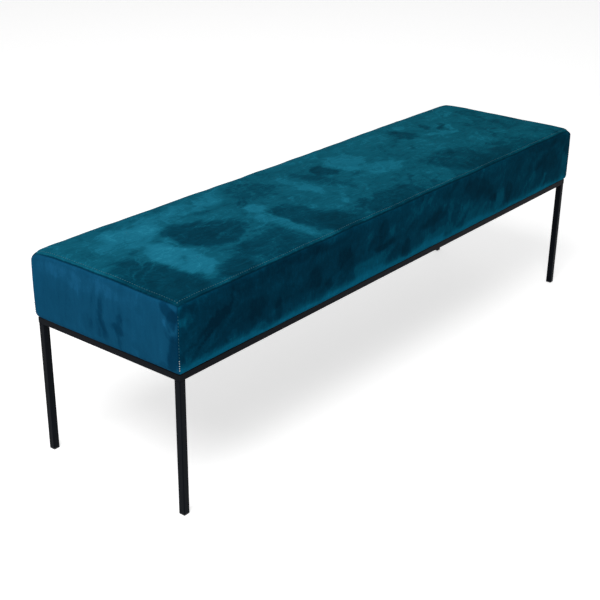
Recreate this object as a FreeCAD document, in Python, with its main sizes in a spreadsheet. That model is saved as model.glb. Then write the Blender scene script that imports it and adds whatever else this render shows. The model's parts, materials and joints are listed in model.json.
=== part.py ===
import FreeCAD, Part
import os

import Sketcher

# Upholstered bench: a long velvet block seat on a slim welded frame of square tube.
# +X runs along the bench, -Y is the long front, +Z is up. The origin lies on the floor,
# below the middle of the seat. All sizes are in millimetres.

doc = FreeCAD.newDocument("UpholsteredBench")
sheet = doc.addObject("Spreadsheet::Sheet", "Sizes")

sizes = [
    ("seatLength", 1500, "seat, over its end panels"),
    ("seatDepth", 400, "seat, over its front and back panels"),
    ("seatCorner", 7, "plan radius of the seat's upright corners"),
    ("bottomRound", 8, "radius where the side panels turn under"),
    ("sideDraw", 1.5, "how far a side panel pulls in at half its height"),
    ("seamRise", 138, "top seam above the frame"),
    ("shoulderRun", 14, "roll of the top panel, inwards from its seam"),
    ("shoulderRise", 5, "roll of the top panel, upwards from its seam"),
    ("shoulderRound", 25, "radius of that roll"),
    ("crownRise", 5, "middle of the top above its rolled edge"),
    ("coverThick", 1.6, "velvet with its backing"),
    ("hemWidth", 30, "cover turned under the board"),
    ("softGap", 0.2, "clearance between two soft layers"),
    ("wrapThick", 8, "fibre wadding"),
    ("boardThick", 18, "plywood seat board"),
    ("boardCorner", 4, "plan radius of the board's corners"),
    ("boardHole", 8, "screw holes through the board"),
    ("railTop", 303, "top of the frame above the floor"),
    ("seatOverhang", 5, "seat past the frame, on every side"),
    ("tubeSide", 15, "square tube, outside"),
    ("tubeWall", 1.5, "square tube, wall"),
    ("tubeRound", 2, "square tube, outer corner radius"),
    ("beadSize", 3, "leg of the weld beads under the rails"),
    ("plateThick", 3, "fixing plates and tabs"),
    ("plateLeg", 60, "corner plate along each rail"),
    ("plateClip", 8, "blunt tips of the corner plate"),
    ("plateHole", 20, "corner screw from the rails' inner faces"),
    ("tabLength", 40, "fixing tab along its rail"),
    ("tabReach", 28, "fixing tab out from its rail"),
    ("tabClip", 6, "cut corners of the tab"),
    ("tabHole", 15, "tab screw from the rail's inner face"),
    ("tabPlace", 250, "tabs left and right of the middle"),
    ("screwPass", 7, "screw holes in plates and dust cover"),
    ("screwThread", 6, "seat screw, thread"),
    ("screwLength", 20, "seat screw under its head"),
    ("screwTip", 0.8, "chamfer on the screw's end"),
    ("headWidth", 12, "screw head"),
    ("headRise", 3.4, "screw head, height"),
    ("headRim", 1.2, "straight rim of the screw head"),
    ("socketSize", 4, "hexagon socket across its flats"),
    ("socketDepth", 2, "hexagon socket, depth"),
    ("washerWidth", 14, "washer"),
    ("washerBore", 6.4, "washer, bore"),
    ("washerThick", 1.2, "washer, thickness"),
    ("nutFlange", 20, "T-nut, flange"),
    ("nutFlangeThick", 1.5, "T-nut, flange thickness"),
    ("nutBarrel", 7.6, "T-nut, barrel"),
    ("nutDepth", 11.5, "T-nut, flange and barrel together"),
    ("threadFit", 0.1, "clearance around the thread"),
    ("nutFit", 0.2, "clearance around the T-nut's flange"),
    ("footHead", 3, "foot plug below the tube"),
    ("footBevel", 0.8, "chamfer around the foot's sole"),
    ("footShank", 16, "foot plug inside the tube"),
    ("footWall", 1.6, "wall of the plug's hollow shank"),
    ("footFit", 0.2, "clearance around the plug's shank"),
    ("footRound", 0.8, "corner radius of the plug's shank"),
    ("dustThick", 0.6, "dust cover cloth"),
    ("dustMargin", 2, "dust cover inside the rails"),
    ("stapleCrown", 12.8, "staple, crown"),
    ("stapleWire", 0.7, "staple, wire"),
    ("stapleLeg", 8, "staple, leg"),
    ("stapleInset", 6, "staples from the inner edge of the hem"),
    ("staplePitch", 50, "cover staples, spacing"),
    ("stapleClear", 3, "staples kept clear of plates"),
    ("cutSpare", 4, "cutting shapes reach past what they cut"),
]

for row, (alias, value, note) in enumerate(sizes, 1):
    sheet.set(f"A{row}", note)
    sheet.set(f"B{row}", str(value))
    sheet.setAlias(f"B{row}", alias)
doc.recompute()


def size(alias):
    return float(sheet.get(alias))


# Lengths and heights that follow from the sheet.
halfLength = "Sizes.seatLength / 2"
halfDepth = "Sizes.seatDepth / 2"
frameHalfLength = "(Sizes.seatLength / 2 - Sizes.seatOverhang)"
frameHalfDepth = "(Sizes.seatDepth / 2 - Sizes.seatOverhang)"
tubeHalf = "Sizes.tubeSide / 2"
innerHalfLength = f"({frameHalfLength} - Sizes.tubeSide)"
innerHalfDepth = f"({frameHalfDepth} - Sizes.tubeSide)"
railBottom = "(Sizes.railTop - Sizes.tubeSide)"
boardBottom = "(Sizes.railTop + Sizes.coverThick)"
boardTop = f"({boardBottom} + Sizes.boardThick)"
plateTop = "(Sizes.railTop - Sizes.dustThick)"
plateBottom = f"({plateTop} - Sizes.plateThick)"
coverInset = "Sizes.coverThick"
wrapOuterInset = "(Sizes.coverThick + Sizes.softGap)"
wrapInnerInset = f"({wrapOuterInset} + Sizes.wrapThick)"
foamInset = f"({wrapInnerInset} + Sizes.softGap)"
seamHeight = "(Sizes.railTop + Sizes.seamRise)"

# The four corners of the frame: name, side in X, side in Y and quarter turns from back right.
corners = [
    ("front_left", -1, -1, 2),
    ("front_right", 1, -1, 3),
    ("back_left", -1, 1, 1),
    ("back_right", 1, 1, 0),
]
parts = []


def add_part(obj, label):
    obj.Label = label
    parts.append(obj)
    return obj


def number(sketch, expression):
    value = sketch.evalExpression(expression)
    return float(getattr(value, "Value", value))


def bind_constraint(sketch, constraint, expression):
    index = sketch.addConstraint(constraint)
    name = f"size{index}"
    sketch.renameConstraint(index, name)
    sketch.setExpression(f"Constraints.{name}", expression)


def fix_point(sketch, geometry, position, x, y):
    """Holds a point at (x, y), two expressions; "0" puts it on an axis."""
    for kind, axis, expression in (("DistanceX", -2, x), ("DistanceY", -1, y)):
        if expression == "0":
            sketch.addConstraint(Sketcher.Constraint("PointOnObject", geometry, position, axis))
        else:
            value = number(sketch, expression)
            held = Sketcher.Constraint(kind, -1, 1, geometry, position, value)
            bind_constraint(sketch, held, expression)


def draw_outline(sketch, points, arcs=None):
    """Draws a closed outline, anticlockwise, through points given as pairs of expressions.

    arcs maps a side's number to its radius and to True where the side bulges outwards.
    """
    arcs = arcs or {}
    places = [FreeCAD.Vector(number(sketch, x), number(sketch, y), 0) for x, y in points]
    starts = []
    ends = []
    for side, start in enumerate(places):
        end = places[(side + 1) % len(places)]
        if side in arcs:
            radius, outwards = arcs[side]
            chord = end - start
            half = chord.Length / 2
            reach = number(sketch, radius)
            sagitta = reach - (reach * reach - half * half) ** 0.5
            right = FreeCAD.Vector(chord.y, -chord.x, 0).normalize()
            middle = (start + end) / 2 + right * (sagitta if outwards else -sagitta)
            ordered = (start, middle, end) if outwards else (end, middle, start)
            geometry = sketch.addGeometry(Part.Arc(*ordered), False)
            starts.append((geometry, 1 if outwards else 2))
            ends.append((geometry, 2 if outwards else 1))
        else:
            geometry = sketch.addGeometry(Part.LineSegment(start, end), False)
            starts.append((geometry, 1))
            ends.append((geometry, 2))
    for side, (x, y) in enumerate(points):
        sketch.addConstraint(Sketcher.Constraint("Coincident", *ends[side - 1], *starts[side]))
        fix_point(sketch, *starts[side], x, y)
    for side, (radius, outwards) in arcs.items():
        held = Sketcher.Constraint("Radius", starts[side][0], number(sketch, radius))
        bind_constraint(sketch, held, radius)


def draw_rounded_rectangle(sketch, halfX, halfY, radius):
    flatX = f"({halfX} - {radius})"
    flatY = f"({halfY} - {radius})"
    points = [
        (f"-{flatX}", f"-({halfY})"),
        (flatX, f"-({halfY})"),
        (f"{halfX}", f"-{flatY}"),
        (f"{halfX}", flatY),
        (flatX, f"{halfY}"),
        (f"-{flatX}", f"{halfY}"),
        (f"-({halfX})", flatY),
        (f"-({halfX})", f"-{flatY}"),
    ]
    draw_outline(sketch, points, {side: (radius, True) for side in (1, 3, 5, 7)})


def draw_circle(sketch, x, y, radius):
    centre = FreeCAD.Vector(number(sketch, x), number(sketch, y), 0)
    circle = Part.Circle(centre, FreeCAD.Vector(0, 0, 1), number(sketch, radius))
    geometry = sketch.addGeometry(circle, False)
    fix_point(sketch, geometry, 3, x, y)
    held = Sketcher.Constraint("Radius", geometry, number(sketch, radius))
    bind_constraint(sketch, held, radius)


def add_sketch(body, plane, height="0"):
    """A sketch on one of the body's own origin planes, at a height along its normal."""
    sketch = body.newObject("Sketcher::SketchObject", f"{body.Name}Sketch")
    support = [f for f in body.Origin.OriginFeatures if f.Role == plane][0]
    sketch.AttachmentSupport = (support, [""])
    sketch.MapMode = "FlatFace"
    if height != "0":
        sketch.setExpression("AttachmentOffset.Base.z", height)
    return sketch


def pad(body, sketch, length, midplane=False):
    feature = body.newObject("PartDesign::Pad", f"{body.Name}Pad")
    feature.Profile = sketch
    feature.Midplane = midplane
    feature.setExpression("Length", length)
    sketch.Visibility = False
    doc.recompute()
    return feature


def pocket(body, sketch, depth=None, upwards=False):
    """Cuts the sketch out of the body: right through, or depth from the sketch's plane."""
    before = body.Shape.Volume
    feature = body.newObject("PartDesign::Pocket", f"{body.Name}Pocket")
    feature.Profile = sketch
    if depth is None:
        feature.Type = "ThroughAll"
        feature.Midplane = True
    else:
        feature.setExpression("Length", depth)
        feature.Reversed = upwards
    sketch.Visibility = False
    doc.recompute()
    if body.Shape.Volume >= before:
        raise ValueError(f"{feature.Name} removes nothing from {body.Name}")
    return feature


def revolve(body, sketch):
    feature = body.newObject("PartDesign::Revolution", f"{body.Name}Revolution")
    feature.Profile = sketch
    feature.ReferenceAxis = (sketch, ["V_Axis"])
    feature.Angle = 360
    sketch.Visibility = False
    doc.recompute()
    return feature


def place(obj, x, y, z, turn=0):
    """Puts an object at three expressions, turned about Z by a number of degrees."""
    turned = FreeCAD.Rotation(FreeCAD.Vector(0, 0, 1), turn)
    obj.Placement = FreeCAD.Placement(FreeCAD.Vector(0, 0, 0), turned)
    for axis, expression in (("x", x), ("y", y), ("z", z)):
        if expression != "0":
            obj.setExpression(f"Placement.Base.{axis}", expression)
    return obj


def add_group(template, label, places):
    """One node of separate solids: a link to the template at each place."""
    links = []
    for x, y, z, turn in places:
        link = doc.addObject("App::Link", f"{label}_copy")
        link.LinkedObject = template
        place(link, x, y, z, turn)
        links.append(link)
    group = doc.addObject("Part::Compound", label)
    group.Links = links
    return add_part(group, label)


def signed(side, expression):
    return expression if side > 0 else f"-({expression})"


# The welded frame.


def build_rail(label, halfRun, x, y, turn):
    """A mitred tube along X whose long face looks to -Y before it is turned."""
    body = doc.addObject("PartDesign::Body", label)
    section = add_sketch(body, "YZ_Plane")
    draw_rounded_rectangle(section, tubeHalf, tubeHalf, "Sizes.tubeRound")
    bore = f"({tubeHalf} - Sizes.tubeWall)"
    draw_rounded_rectangle(section, bore, bore, "(Sizes.tubeRound - Sizes.tubeWall)")
    pad(body, section, f"2 * {halfRun}", midplane=True)
    mitres = add_sketch(body, "XY_Plane")
    spare = "Sizes.cutSpare"
    outer = f"-({tubeHalf} + {spare})"
    inner = f"({tubeHalf} + {spare})"
    long = f"({halfRun} + {spare})"
    short = f"({halfRun} - Sizes.tubeSide - {spare})"
    draw_outline(mitres, [(long, outer), (long, inner), (short, inner)])
    draw_outline(mitres, [(f"-{long}", outer), (f"-{short}", inner), (f"-{long}", inner)])
    pocket(body, mitres)
    place(body, x, y, f"Sizes.railTop - {tubeHalf}", turn)
    add_part(body, label)


def build_leg(label, sideX, sideY):
    body = doc.addObject("PartDesign::Body", label)
    section = add_sketch(body, "XY_Plane")
    draw_rounded_rectangle(section, tubeHalf, tubeHalf, "Sizes.tubeRound")
    bore = f"({tubeHalf} - Sizes.tubeWall)"
    draw_rounded_rectangle(section, bore, bore, "(Sizes.tubeRound - Sizes.tubeWall)")
    pad(body, section, f"{railBottom} - Sizes.footHead")
    place(body, *leg_place(sideX, sideY), "Sizes.footHead")
    add_part(body, label)


def leg_place(sideX, sideY):
    return (
        signed(sideX, f"{frameHalfLength} - {tubeHalf}"),
        signed(sideY, f"{frameHalfDepth} - {tubeHalf}"),
    )


def build_foot_plug(label, sideX, sideY):
    """A moulded plug: a square sole under the tube and a hollow shank inside it."""
    body = doc.addObject("PartDesign::Body", label)
    sole = add_sketch(body, "XY_Plane")
    draw_rounded_rectangle(sole, tubeHalf, tubeHalf, "Sizes.tubeRound")
    solePad = pad(body, sole, "Sizes.footHead")
    bevel = body.newObject("PartDesign::Chamfer", f"{label}Bevel")
    edges = [
        f"Edge{i}"
        for i, edge in enumerate(solePad.Shape.Edges, 1)
        if edge.BoundBox.ZMax < size("footBevel") / 10
    ]
    bevel.Base = (solePad, edges)
    bevel.setExpression("Size", "Sizes.footBevel")
    doc.recompute()
    shank = add_sketch(body, "XY_Plane", "Sizes.footHead")
    shankHalf = f"({tubeHalf} - Sizes.tubeWall - Sizes.footFit)"
    hollowHalf = f"({shankHalf} - Sizes.footWall)"
    draw_rounded_rectangle(shank, shankHalf, shankHalf, "Sizes.footRound")
    draw_outline(
        shank,
        [
            (f"-{hollowHalf}", f"-{hollowHalf}"),
            (hollowHalf, f"-{hollowHalf}"),
            (hollowHalf, hollowHalf),
            (f"-{hollowHalf}", hollowHalf),
        ],
    )
    pad(body, shank, "Sizes.footShank")
    place(body, *leg_place(sideX, sideY), "0")
    add_part(body, label)


def build_weld_beads():
    """Hollow fillets where each leg's two inner faces meet the rails."""
    bead = doc.addObject("PartDesign::Body", "weld_bead")
    section = add_sketch(bead, "XZ_Plane")
    points = [("0", "0"), ("0", "-Sizes.beadSize"), ("Sizes.beadSize", "0")]
    draw_outline(section, points, {1: ("Sizes.beadSize", False)})
    pad(bead, section, "Sizes.tubeSide - 2 * Sizes.tubeRound", midplane=True)
    places = []
    for name, sideX, sideY, quarter in corners:
        middleX, middleY = leg_place(sideX, sideY)
        underLong = (signed(sideX, innerHalfLength), middleY, railBottom)
        underShort = (middleX, signed(sideY, innerHalfDepth), railBottom)
        places.append((*underLong, 180 if sideX > 0 else 0))
        places.append((*underShort, 270 if sideY > 0 else 90))
    add_group(bead, "corner_weld_beads", places)


def build_corner_plate(label, sideX, sideY, quarter):
    """A blunt triangle welded into a corner of the rails, drilled for a seat screw."""
    body = doc.addObject("PartDesign::Body", label)
    outline = add_sketch(body, "XY_Plane")
    leg = "-Sizes.plateLeg"
    clip = "-Sizes.plateClip"
    draw_outline(outline, [("0", "0"), (leg, "0"), (leg, clip), (clip, leg), ("0", leg)])
    draw_circle(outline, "-Sizes.plateHole", "-Sizes.plateHole", "Sizes.screwPass / 2")
    pad(body, outline, "Sizes.plateThick")
    x = signed(sideX, innerHalfLength)
    y = signed(sideY, innerHalfDepth)
    place(body, x, y, plateBottom, 90 * quarter)
    add_part(body, label)


def build_tab(label, sideX, sideY):
    """A small drilled tab welded to the middle stretch of a long rail."""
    body = doc.addObject("PartDesign::Body", label)
    outline = add_sketch(body, "XY_Plane")
    half = "Sizes.tabLength / 2"
    cut = f"({half} - Sizes.tabClip)"
    reach = "-Sizes.tabReach"
    shoulder = "-(Sizes.tabReach - Sizes.tabClip)"
    draw_outline(
        outline,
        [
            (half, "0"),
            (f"-{half}", "0"),
            (f"-{half}", shoulder),
            (f"-{cut}", reach),
            (cut, reach),
            (half, shoulder),
        ],
    )
    draw_circle(outline, "0", "-Sizes.tabHole", "Sizes.screwPass / 2")
    pad(body, outline, "Sizes.plateThick")
    y = signed(sideY, innerHalfDepth)
    place(body, signed(sideX, "Sizes.tabPlace"), y, plateBottom, 0 if sideY > 0 else 180)
    add_part(body, label)


railAcross = f"{frameHalfDepth} - {tubeHalf}"
railAlong = f"{frameHalfLength} - {tubeHalf}"
build_rail("rail_front", frameHalfLength, "0", f"-({railAcross})", 0)
build_rail("rail_back", frameHalfLength, "0", railAcross, 180)
build_rail("rail_left", frameHalfDepth, f"-({railAlong})", "0", 270)
build_rail("rail_right", frameHalfDepth, railAlong, "0", 90)
for name, sideX, sideY, quarter in corners:
    build_leg(f"leg_{name}", sideX, sideY)
    build_foot_plug(f"foot_plug_{name}", sideX, sideY)
    build_corner_plate(f"corner_plate_{name}", sideX, sideY, quarter)
    build_tab(f"middle_tab_{name}", sideX, sideY)
build_weld_beads()

# The seat screws, from below: head, washer, plate, board, T-nut.

screwPlaces = []
for name, sideX, sideY, quarter in corners:
    atCorner = (
        signed(sideX, f"{innerHalfLength} - Sizes.plateHole"),
        signed(sideY, f"{innerHalfDepth} - Sizes.plateHole"),
    )
    atTab = (signed(sideX, "Sizes.tabPlace"), signed(sideY, f"{innerHalfDepth} - Sizes.tabHole"))
    screwPlaces += [atCorner, atTab]


def build_screws():
    """Button heads with a hexagon socket below, plain shanks for the threads above."""
    body = doc.addObject("PartDesign::Body", "seat_screw")
    profile = add_sketch(body, "XZ_Plane")
    rim = "Sizes.headWidth / 2"
    dome = "(Sizes.headRise - Sizes.headRim)"
    core = "(Sizes.screwThread / 2)"
    domeRadius = f"(({rim}) * ({rim}) + {dome} * {dome}) / (2 * {dome})"
    points = [
        ("0", "-Sizes.headRise"),
        (rim, "-Sizes.headRim"),
        (rim, "0"),
        (core, "0"),
        (core, "Sizes.screwLength - Sizes.screwTip"),
        (f"{core} - Sizes.screwTip", "Sizes.screwLength"),
        ("0", "Sizes.screwLength"),
    ]
    draw_outline(profile, points, {0: (domeRadius, True)})
    revolve(body, profile)
    socket = add_sketch(body, "XY_Plane", "-Sizes.headRise")
    flat = "(Sizes.socketSize / 2)"
    point = f"({flat} / cos(30))"
    slope = f"({point} / 2)"
    hexagon = [
        (point, "0"),
        (slope, flat),
        (f"-{slope}", flat),
        (f"-{point}", "0"),
        (f"-{slope}", f"-{flat}"),
        (slope, f"-{flat}"),
    ]
    draw_outline(socket, hexagon)
    pocket(body, socket, "Sizes.socketDepth", upwards=True)
    seat = f"{plateBottom} - Sizes.washerThick"
    add_group(body, "seat_screws", [(x, y, seat, 0) for x, y in screwPlaces])


def build_washers():
    body = doc.addObject("PartDesign::Body", "washer")
    ring = add_sketch(body, "XY_Plane")
    draw_circle(ring, "0", "0", "Sizes.washerWidth / 2")
    draw_circle(ring, "0", "0", "Sizes.washerBore / 2")
    pad(body, ring, "Sizes.washerThick")
    seat = f"{plateBottom} - Sizes.washerThick"
    add_group(body, "screw_washers", [(x, y, seat, 0) for x, y in screwPlaces])


def build_t_nuts():
    """Flanged nuts driven into the board from above; the flange lies flush."""
    body = doc.addObject("PartDesign::Body", "t_nut")
    profile = add_sketch(body, "XZ_Plane")
    bore = "(Sizes.screwThread / 2 + Sizes.threadFit)"
    barrel = "Sizes.nutBarrel / 2"
    flange = "Sizes.nutFlange / 2"
    points = [
        (bore, "-Sizes.nutDepth"),
        (barrel, "-Sizes.nutDepth"),
        (barrel, "-Sizes.nutFlangeThick"),
        (flange, "-Sizes.nutFlangeThick"),
        (flange, "0"),
        (bore, "0"),
    ]
    draw_outline(profile, points)
    revolve(body, profile)
    add_group(body, "t_nuts", [(x, y, boardTop, 0) for x, y in screwPlaces])


build_screws()
build_washers()
build_t_nuts()

# The seat: board, foam, wadding and cover. Each soft layer is one form at its own inset.


def free_sketch(name, plane):
    """A sketch that stands in the document by itself, on the XY, XZ or YZ plane."""
    sketch = doc.addObject("Sketcher::SketchObject", name)
    turns = {
        "XY": FreeCAD.Rotation(),
        "XZ": FreeCAD.Rotation(FreeCAD.Vector(1, 0, 0), 90),
        "YZ": FreeCAD.Rotation(FreeCAD.Vector(1, 1, 1), 120),
    }
    sketch.Placement = FreeCAD.Placement(FreeCAD.Vector(0, 0, 0), turns[plane])
    sketch.Visibility = False
    return sketch


def extrude(sketch, direction, length):
    feature = doc.addObject("Part::Extrusion", f"{sketch.Name}Solid")
    feature.Base = sketch
    feature.DirMode = "Custom"
    feature.Dir = FreeCAD.Vector(*direction)
    feature.Solid = True
    feature.Symmetric = True
    feature.setExpression("LengthFwd", length)
    return feature


def draw_side_profile(sketch, half, inset, bottom, turnUnder, drawnIn):
    """The seat cut across: flat below, drawn-in sides, rolled shoulders and a crowned top."""
    side = f"({half} - {inset})"
    shoulder = f"({side} - Sizes.shoulderRun)"
    seam = f"({seamHeight} - {inset})"
    roll = f"({seam} + Sizes.shoulderRise)"
    crownRadius = f"({shoulder} * {shoulder} / Sizes.crownRise + Sizes.crownRise) / 2"
    start = f"({bottom} + {turnUnder})" if turnUnder else bottom
    foot = f"({side} - {turnUnder})" if turnUnder else side
    halfRise = f"(({seam} - {start}) / 2)"
    drawRadius = f"({halfRise} * {halfRise} / Sizes.sideDraw + Sizes.sideDraw) / 2"
    points = [(side, start), (side, seam), (shoulder, roll)]
    points += [(f"-{shoulder}", roll), (f"-{side}", seam), (f"-{side}", start)]
    arcs = {1: ("Sizes.shoulderRound", True), 2: (crownRadius, True)}
    arcs[3] = ("Sizes.shoulderRound", True)
    if drawnIn:
        arcs[0] = (drawRadius, False)
        arcs[4] = (drawRadius, False)
    if turnUnder:
        points += [(f"-{foot}", bottom), (foot, bottom)]
        arcs[5] = (turnUnder, True)
        arcs[7] = (turnUnder, True)
    draw_outline(sketch, points, arcs)


def build_seat_form(name, inset, bottom, corner, turnUnder=None, drawnIn=False):
    """The seat block drawn in by inset: what is common to its plan and its two profiles."""
    plan = free_sketch(f"{name}Plan", "XY")
    draw_rounded_rectangle(plan, f"({halfLength} - {inset})", f"({halfDepth} - {inset})", corner)
    across = free_sketch(f"{name}Across", "YZ")
    draw_side_profile(across, halfDepth, inset, bottom, turnUnder, drawnIn)
    along = free_sketch(f"{name}Along", "XZ")
    draw_side_profile(along, halfLength, inset, bottom, turnUnder, drawnIn)
    doc.recompute()
    tall = f"4 * {seamHeight}"
    form = doc.addObject("Part::MultiCommon", f"{name}Form")
    form.Shapes = [
        extrude(plan, (0, 0, 1), tall),
        extrude(across, (1, 0, 0), "Sizes.seatLength + 2 * Sizes.cutSpare"),
        extrude(along, (0, 1, 0), "Sizes.seatDepth + 2 * Sizes.cutSpare"),
    ]
    doc.recompute()
    return form


def cut(name, base, tool):
    feature = doc.addObject("Part::Cut", name)
    feature.Base = base
    feature.Tool = tool
    doc.recompute()
    return feature


def common(name, base, tool):
    feature = doc.addObject("Part::Common", name)
    feature.Base = base
    feature.Tool = tool
    doc.recompute()
    return feature


def add_block(name, halfX, halfY, low, high):
    block = doc.addObject("Part::Box", name)
    block.setExpression("Length", f"2 * {halfX}")
    block.setExpression("Width", f"2 * {halfY}")
    block.setExpression("Height", f"{high} - {low}")
    place(block, f"-{halfX}", f"-{halfY}", low)
    return block


def build_board():
    """Plywood, drilled for the screws and sunk for the T-nuts' flanges."""
    body = doc.addObject("PartDesign::Body", "board")
    plan = add_sketch(body, "XY_Plane")
    halfX = f"({halfLength} - {foamInset})"
    halfY = f"({halfDepth} - {foamInset})"
    draw_rounded_rectangle(plan, halfX, halfY, "Sizes.boardCorner")
    for x, y in screwPlaces:
        draw_circle(plan, x, y, "Sizes.boardHole / 2")
    pad(body, plan, "Sizes.boardThick")
    sinks = add_sketch(body, "XY_Plane", "Sizes.boardThick")
    for x, y in screwPlaces:
        draw_circle(sinks, x, y, "Sizes.nutFlange / 2 + Sizes.nutFit")
    pocket(body, sinks, "Sizes.nutFlangeThick")
    place(body, "0", "0", boardBottom)
    add_part(body, "seat_board")


def build_filling():
    """A foam block on the board, and fibre wadding over its top and round all sides."""
    foamCorner = "Sizes.boardCorner"
    voidCorner = "(Sizes.boardCorner + Sizes.softGap)"
    wrapCorner = f"(Sizes.seatCorner - {wrapOuterInset})"
    wrapBottom = f"({boardBottom} + Sizes.softGap)"
    wrapTurn = f"(Sizes.bottomRound - {wrapOuterInset})"
    low = "(Sizes.railTop - Sizes.cutSpare)"
    foam = build_seat_form("Foam", foamInset, boardTop, foamCorner)
    add_part(foam, "foam_block")
    outer = build_seat_form(
        "WrapOuter", wrapOuterInset, wrapBottom, wrapCorner, wrapTurn, drawnIn=True
    )
    inner = build_seat_form("WrapInner", wrapInnerInset, low, voidCorner)
    add_part(cut("Wrap", outer, inner), "fibre_wrap")


def build_cover():
    """Five velvet panels: the top ends at its seam, the sides turn under the board."""
    outer = build_seat_form(
        "CoverOuter", "0", "Sizes.railTop", "Sizes.seatCorner", "Sizes.bottomRound", drawnIn=True
    )
    innerCorner = f"(Sizes.seatCorner - {coverInset})"
    innerTurn = f"(Sizes.bottomRound - {coverInset})"
    inner = build_seat_form(
        "CoverInner", coverInset, boardBottom, innerCorner, innerTurn, drawnIn=True
    )
    shell = cut("CoverShell", outer, inner)
    low = "(Sizes.railTop - Sizes.cutSpare)"
    openX = f"({halfLength} - Sizes.hemWidth)"
    openY = f"({halfDepth} - Sizes.hemWidth)"
    opening = add_block("HemOpening", openX, openY, low, f"({boardBottom} + Sizes.cutSpare)")
    shell = cut("CoverOpened", shell, opening)
    pastX = f"({halfLength} + Sizes.cutSpare)"
    pastY = f"({halfDepth} + Sizes.cutSpare)"
    high = f"({seamHeight} + 2 * Sizes.seamRise)"
    above = add_block("AboveSeam", pastX, pastY, seamHeight, high)
    add_part(common("CoverTop", shell, above), "cover_top_panel")
    inward = "(2 * Sizes.hemWidth)"
    nearX = f"({pastX} - {inward})"
    nearY = f"({pastY} - {inward})"
    wedges = {
        "front": [("-", pastX, "-", pastY), ("", pastX, "-", pastY), ("", nearX, "-", nearY),
                  ("-", nearX, "-", nearY)],
        "back": [("-", nearX, "", nearY), ("", nearX, "", nearY), ("", pastX, "", pastY),
                 ("-", pastX, "", pastY)],
        "left": [("-", pastX, "-", pastY), ("-", nearX, "-", nearY), ("-", nearX, "", nearY),
                 ("-", pastX, "", pastY)],
        "right": [("", nearX, "-", nearY), ("", pastX, "-", pastY), ("", pastX, "", pastY),
                  ("", nearX, "", nearY)],
    }
    for side, outline in wedges.items():
        plan = free_sketch(f"{side}Wedge", "XY")
        draw_outline(plan, [(f"{sx}{x}", f"{sy}{y}") for sx, x, sy, y in outline])
        wedge = extrude(plan, (0, 0, 1), f"2 * {seamHeight}")
        doc.recompute()
        add_part(common(f"Cover{side.title()}", shell, wedge), f"cover_{side}_panel")


build_board()
build_filling()
build_cover()

# The underside: black cloth, and the staples that hold it and the cover's hem.


def build_dust_cover():
    body = doc.addObject("PartDesign::Body", "dust_cloth")
    plan = add_sketch(body, "XY_Plane")
    halfX = f"({innerHalfLength} - Sizes.dustMargin)"
    halfY = f"({innerHalfDepth} - Sizes.dustMargin)"
    draw_rounded_rectangle(plan, halfX, halfY, "Sizes.dustMargin")
    for x, y in screwPlaces:
        draw_circle(plan, x, y, "Sizes.screwPass / 2")
    pad(body, plan, "Sizes.dustThick")
    place(body, "0", "0", plateTop)
    add_part(body, "dust_cover")


def staple_steps(halfRun, offset):
    """Steps of the staple pitch that fit a run, counted both ways from its middle."""
    count = int(halfRun / size("staplePitch") - offset)
    forward = [offset + step for step in range(count + 1)]
    return sorted({-step for step in forward} | set(forward))


def clear_of_tabs(step):
    room = (size("tabLength") + size("stapleCrown")) / 2 + size("stapleClear")
    return abs(abs(step) * size("staplePitch") - size("tabPlace")) > room


def staple_line(halfX, halfY, offset, height, skipTabs):
    """Places for staples along all four edges, at expressions for half of each span."""
    plates = size("plateLeg") + size("stapleCrown") / 2 + size("stapleClear")
    overhang = size("seatOverhang") + size("tubeSide")
    runX = size("seatLength") / 2 - overhang - plates
    runY = size("seatDepth") / 2 - overhang - plates
    places = []
    for step in staple_steps(runX, offset):
        if skipTabs and not clear_of_tabs(step):
            continue
        x = f"Sizes.staplePitch * {step}" if step else "0"
        places += [(x, f"-{halfY}", height, 0), (x, halfY, height, 0)]
    for step in staple_steps(runY, offset):
        y = f"Sizes.staplePitch * {step}" if step else "0"
        places += [(f"-{halfX}", y, height, 90), (halfX, y, height, 90)]
    return places


def build_staples():
    body = doc.addObject("PartDesign::Body", "staple")
    outline = add_sketch(body, "XZ_Plane")
    half = "Sizes.stapleCrown / 2"
    inside = f"({half} - Sizes.stapleWire)"
    points = [
        (f"-{half}", "0"),
        (half, "0"),
        (half, "Sizes.stapleLeg"),
        (inside, "Sizes.stapleLeg"),
        (inside, "Sizes.stapleWire"),
        (f"-{inside}", "Sizes.stapleWire"),
        (f"-{inside}", "Sizes.stapleLeg"),
        (f"-{half}", "Sizes.stapleLeg"),
    ]
    draw_outline(outline, points)
    pad(body, outline, "Sizes.stapleWire", midplane=True)
    halfX = f"({halfLength} - Sizes.hemWidth + Sizes.stapleInset)"
    halfY = f"({halfDepth} - Sizes.hemWidth + Sizes.stapleInset)"
    inHem = staple_line(halfX, halfY, 0, "Sizes.railTop", skipTabs=False)
    add_group(body, "cover_staples", inHem)
    below = f"{plateTop} - Sizes.stapleWire"
    inCloth = staple_line(halfX, halfY, 0.5, below, skipTabs=True)
    add_group(body, "dust_cover_staples", inCloth)


build_dust_cover()
build_staples()

doc.recompute()
for obj in doc.Objects:
    for state in ("Invalid", "Error"):
        if state in obj.State:
            raise ValueError(f"{obj.Name} is in state {state}")
for part in parts:
    if part.Shape.isNull() or not part.Shape.isValid():
        raise ValueError(f"{part.Label} has no valid shape")

os.makedirs("parts", exist_ok=True)
for part in parts:
    box = part.Shape.BoundBox
    print(f"{part.Label}: {len(part.Shape.Solids)} solid(s), {part.Shape.Volume:.0f} mm3, "
          f"z {box.ZMin:.2f} to {box.ZMax:.2f}")
    part.Shape.exportStep(f"parts/{part.Label}.step")
print(f"{len(parts)} nodes written")
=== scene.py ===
import json
import math
import random

import bmesh
import bpy
import numpy as np
from mathutils import Matrix, Vector, noise
from mathutils.bvhtree import BVHTree

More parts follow.
